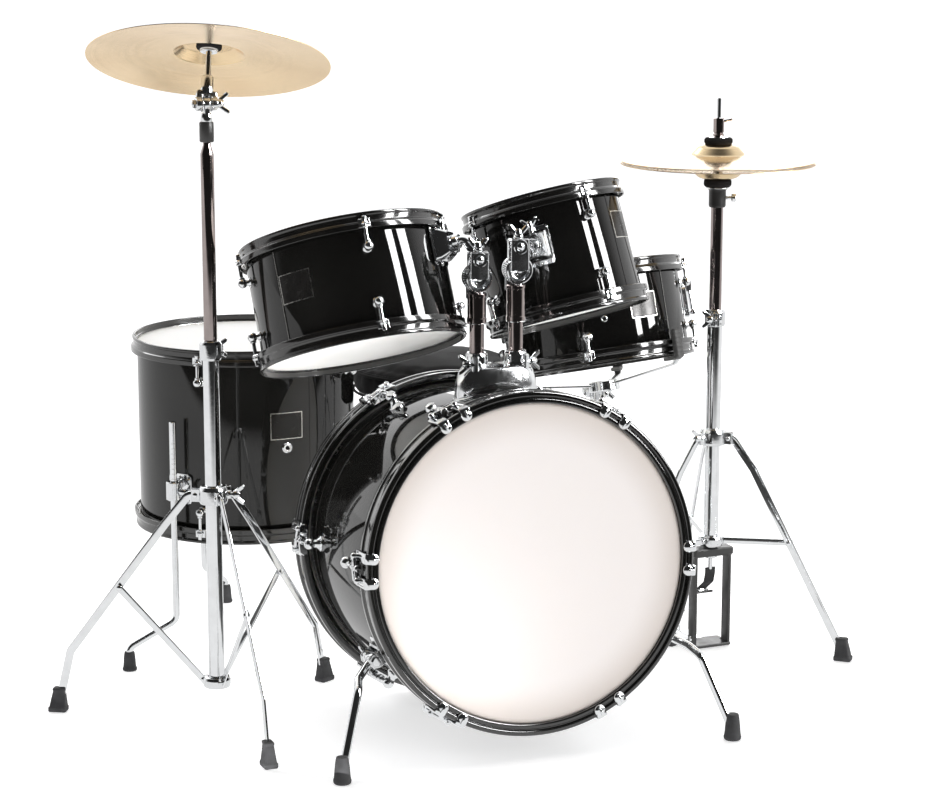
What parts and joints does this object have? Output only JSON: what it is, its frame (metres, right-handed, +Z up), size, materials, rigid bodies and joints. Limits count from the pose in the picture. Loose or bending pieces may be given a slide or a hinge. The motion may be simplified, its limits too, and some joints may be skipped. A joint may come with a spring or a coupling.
{
  "type": "drum kit",
  "caption": "Junior drum kit with bass drum, rack toms, floor tom, snare, crash cymbal, hi-hat, bass pedal and round throne, on chrome stands.",
  "frame": {"origin": "centre of the kit's bounding box, on the floor", "axes": "+Z up, -Y towards the audience, +Y towards the drummer, +X towards the hi-hat"},
  "size_m": [1.1046, 0.8889, 0.9074],
  "materials": {
    "bass_shell": "gloss black wrap over a wood shell",
    "bass_front_head": "white film head",
    "bass_batter_head": "white film head",
    "bass_front_hoop": "gloss black lacquer",
    "bass_batter_hoop": "gloss black lacquer",
    "tom_mount_base": "polished",
    "floor_tom_shell": "gloss black wrap over a wood shell",
    "floor_tom_top_head": "white film head",
    "floor_tom_bottom_head": "white film head",
    "floor_tom_top_hoop": "gloss black lacquer",
    "floor_tom_bottom_hoop": "gloss black lacquer",
    "crash_tripod": "polished",
    "crash_base_tube": "polished",
    "hihat_tripod": "polished",
    "hihat_base_tube": "polished",
    "hihat_frame": "black, satin",
    "snare_stand_tripod": "polished",
    "snare_stand_base_tube": "polished",
    "pedal_frame": "polished",
    "throne_base": "polished",
    "throne_tube": "polished",
    "bass_spur_left": "polished",
    "bass_spur_right": "polished",
    "tom_post_left": "polished",
    "tom_post_right": "polished",
    "tom_arm_left": "polished",
    "tom_arm_right": "polished",
    "left_tom_shell": "gloss black wrap over a wood shell",
    "left_tom_top_head": "white film head",
    "left_tom_bottom_head": "white film head",
    "left_tom_top_hoop": "gloss black lacquer",
    "left_tom_bottom_hoop": "gloss black lacquer",
    "right_tom_shell": "gloss black wrap over a wood shell",
    "right_tom_top_head": "white film head",
    "right_tom_bottom_head": "white film head",
    "right_tom_top_hoop": "gloss black lacquer",
    "right_tom_bottom_hoop": "gloss black lacquer",
    "floor_tom_leg_1": "polished",
    "floor_tom_leg_2": "polished",
    "floor_tom_leg_3": "polished",
    "crash_upper_tube": "black, satin",
    "crash_tilter": "polished",
    "crash_cymbal": "lathed, satin",
    "hihat_upper_tube": "black, satin",
    "hihat_bottom_cymbal": "lathed, satin",
    "hihat_rod": "polished",
    "hihat_top_cymbal": "lathed, satin",
    "hihat_footboard": "black, satin",
    "snare_stand_upper_tube": "polished",
    "snare_basket": "polished",
    "snare_shell": "gloss black wrap over a wood shell",
    "snare_top_head": "white film head",
    "snare_bottom_head": "white film head",
    "snare_top_hoop": "gloss black lacquer",
    "snare_bottom_hoop": "gloss black lacquer",
    "snare_throwoff": "polished",
    "pedal_footboard": "polished",
    "pedal_beater": "polished",
    "throne_post": "polished",
    "throne_seat": "black vinyl over foam"
  },
  "bodies": {
    "kit": {"bass_shell": "bass_shell", "bass_front_head": "bass_front_head", "bass_batter_head": "bass_batter_head", "bass_front_hoop": "bass_front_hoop", "bass_batter_hoop": "bass_batter_hoop", "tom_mount_base": "tom_mount_base", "floor_tom_shell": "floor_tom_shell", "floor_tom_top_head": "floor_tom_top_head", "floor_tom_bottom_head": "floor_tom_bottom_head", "floor_tom_top_hoop": "floor_tom_top_hoop", "floor_tom_bottom_hoop": "floor_tom_bottom_hoop", "crash_tripod": "crash_tripod", "crash_base_tube": "crash_base_tube", "hihat_tripod": "hihat_tripod", "hihat_base_tube": "hihat_base_tube", "hihat_frame": "hihat_frame", "snare_stand_tripod": "snare_stand_tripod", "snare_stand_base_tube": "snare_stand_base_tube", "pedal_frame": "pedal_frame", "throne_base": "throne_base", "throne_tube": "throne_tube"},
    "spur_left": {"bass_spur_left": "bass_spur_left"},
    "spur_right": {"bass_spur_right": "bass_spur_right"},
    "post_left": {"tom_post_left": "tom_post_left"},
    "post_right": {"tom_post_right": "tom_post_right"},
    "arm_left": {"tom_arm_left": "tom_arm_left"},
    "arm_right": {"tom_arm_right": "tom_arm_right"},
    "left_tom": {"left_tom_shell": "left_tom_shell", "left_tom_top_head": "left_tom_top_head", "left_tom_bottom_head": "left_tom_bottom_head", "left_tom_top_hoop": "left_tom_top_hoop", "left_tom_bottom_hoop": "left_tom_bottom_hoop"},
    "right_tom": {"right_tom_shell": "right_tom_shell", "right_tom_top_head": "right_tom_top_head", "right_tom_bottom_head": "right_tom_bottom_head", "right_tom_top_hoop": "right_tom_top_hoop", "right_tom_bottom_hoop": "right_tom_bottom_hoop"},
    "floor_leg_1": {"floor_tom_leg_1": "floor_tom_leg_1"},
    "floor_leg_2": {"floor_tom_leg_2": "floor_tom_leg_2"},
    "floor_leg_3": {"floor_tom_leg_3": "floor_tom_leg_3"},
    "crash_mast": {"crash_upper_tube": "crash_upper_tube"},
    "crash_tilter": {"crash_tilter": "crash_tilter"},
    "crash": {"crash_cymbal": "crash_cymbal"},
    "hihat_mast": {"hihat_upper_tube": "hihat_upper_tube", "hihat_bottom_cymbal": "hihat_bottom_cymbal"},
    "hihat_pull": {"hihat_rod": "hihat_rod", "hihat_top_cymbal": "hihat_top_cymbal"},
    "hihat_pedal": {"hihat_footboard": "hihat_footboard"},
    "snare_mast": {"snare_stand_upper_tube": "snare_stand_upper_tube"},
    "snare": {"snare_basket": "snare_basket", "snare_shell": "snare_shell", "snare_top_head": "snare_top_head", "snare_bottom_head": "snare_bottom_head", "snare_top_hoop": "snare_top_hoop", "snare_bottom_hoop": "snare_bottom_hoop"},
    "throwoff": {"snare_throwoff": "snare_throwoff"},
    "bass_pedal": {"pedal_footboard": "pedal_footboard"},
    "beater": {"pedal_beater": "pedal_beater"},
    "throne_mast": {"throne_post": "throne_post"},
    "seat": {"throne_seat": "throne_seat"}
  },
  "joints": [
    {"name": "spur_left_fold", "type": "hinge", "parent": "kit", "child": "spur_left", "pos_m": [-0.20874, -0.34498, 0.12643], "axis": [0, 0.9961, -0.0879], "range_deg": [0, 60]},
    {"name": "spur_right_fold", "type": "hinge", "parent": "kit", "child": "spur_right", "pos_m": [0.17854, -0.34498, 0.12643], "axis": [0, 0.9961, -0.0879], "range_deg": [-60, 0]},
    {"name": "left_tom_height", "type": "slide", "parent": "kit", "child": "post_left", "axis": [0, 0, 1], "range_m": [0, 0.026]},
    {"name": "right_tom_height", "type": "slide", "parent": "kit", "child": "post_right", "axis": [0, 0, 1], "range_m": [0, 0.026]},
    {"name": "left_tom_ratchet", "type": "hinge", "parent": "post_left", "child": "arm_left", "pos_m": [-0.0401, -0.2609, 0.584], "axis": [0, 1, 0], "range_deg": [0, 10]},
    {"name": "right_tom_ratchet", "type": "hinge", "parent": "post_right", "child": "arm_right", "pos_m": [0.0139, -0.2609, 0.592], "axis": [0, 1, 0], "range_deg": [-10, 0]},
    {"name": "left_tom_turn", "type": "hinge", "parent": "arm_left", "child": "left_tom", "pos_m": [-0.06467, -0.23666, 0.62626], "axis": [0.7526, -0.5954, 0.2813], "range_deg": [-6, 6]},
    {"name": "right_tom_turn", "type": "hinge", "parent": "arm_right", "child": "right_tom", "pos_m": [0.06052, -0.19746, 0.61066], "axis": [-0.5385, -0.8257, 0.1679], "range_deg": [-6, 6]},
    {"name": "floor_leg_1_slide", "type": "slide", "parent": "kit", "child": "floor_leg_1", "axis": [0, 0, 1], "range_m": [0, 0.1]},
    {"name": "floor_leg_2_slide", "type": "slide", "parent": "kit", "child": "floor_leg_2", "axis": [0, 0, 1], "range_m": [0, 0.1]},
    {"name": "floor_leg_3_slide", "type": "slide", "parent": "kit", "child": "floor_leg_3", "axis": [0, 0, 1], "range_m": [0, 0.1]},
    {"name": "crash_height", "type": "slide", "parent": "kit", "child": "crash_mast", "axis": [0, 0, 1], "range_m": [-0.07, 0.08]},
    {"name": "crash_tilt", "type": "hinge", "parent": "crash_mast", "child": "crash_tilter", "pos_m": [-0.3514, -0.1275, 0.8], "axis": [1, 0, 0], "range_deg": [-8, 28]},
    {"name": "crash_spin", "type": "hinge", "parent": "crash_tilter", "child": "crash", "pos_m": [-0.33919, -0.10145, 0.87358], "axis": [0.1546, 0.3297, 0.9313], "continuous": true},
    {"name": "hihat_height", "type": "slide", "parent": "kit", "child": "hihat_mast", "axis": [0, 0, 1], "range_m": [-0.05, 0.03]},
    {"name": "hihat_pull_slide", "type": "slide", "parent": "hihat_mast", "child": "hihat_pull", "axis": [0, 0, 1], "range_m": [-0.0031, 0.0122]},
    {"name": "hihat_pedal_press", "type": "hinge", "parent": "kit", "child": "hihat_pedal", "pos_m": [0.37645, 0.17172, 0.0185], "axis": [0.9962, 0.0872, 0], "range_deg": [-3.7, 0.9], "stiffness_Nm_per_rad": 12},
    {"name": "snare_height", "type": "slide", "parent": "kit", "child": "snare_mast", "axis": [0, 0, 1], "range_m": [-0.03, 0]},
    {"name": "snare_tilt", "type": "hinge", "parent": "snare_mast", "child": "snare", "pos_m": [0.2759, 0.1111, 0.352], "axis": [1, 0, 0], "range_deg": [-7, 0]},
    {"name": "snare_throwoff_swing", "type": "hinge", "parent": "snare", "child": "throwoff", "pos_m": [0.40911, 0.07825, 0.46366], "axis": [0.1388, 0.9635, -0.229], "range_deg": [0, 80]},
    {"name": "bass_pedal_press", "type": "hinge", "parent": "kit", "child": "bass_pedal", "pos_m": [-0.0151, 0.1551, 0.019], "axis": [1, 0, 0], "range_deg": [0, 9]},
    {"name": "beater_swing", "type": "hinge", "parent": "kit", "child": "beater", "pos_m": [-0.0151, -0.0529, 0.112], "axis": [1, 0, 0], "range_deg": [0, 36], "stiffness_Nm_per_rad": 0.6, "springref_deg": -17.19},
    {"name": "throne_height", "type": "slide", "parent": "kit", "child": "throne_mast", "axis": [0, 0, 1], "range_m": [0, 0.04]},
    {"name": "seat_spin", "type": "hinge", "parent": "throne_mast", "child": "seat", "pos_m": [0.1029, 0.2981, 0.378], "axis": [0, 0, 1], "continuous": true}
  ],
  "couplings": [
    {"joint": "hihat_pull_slide", "follows": "hihat_pedal_press", "m_per_rad": -0.184},
    {"joint": "beater_swing", "follows": "bass_pedal_press", "ratio": 4}
  ]
}
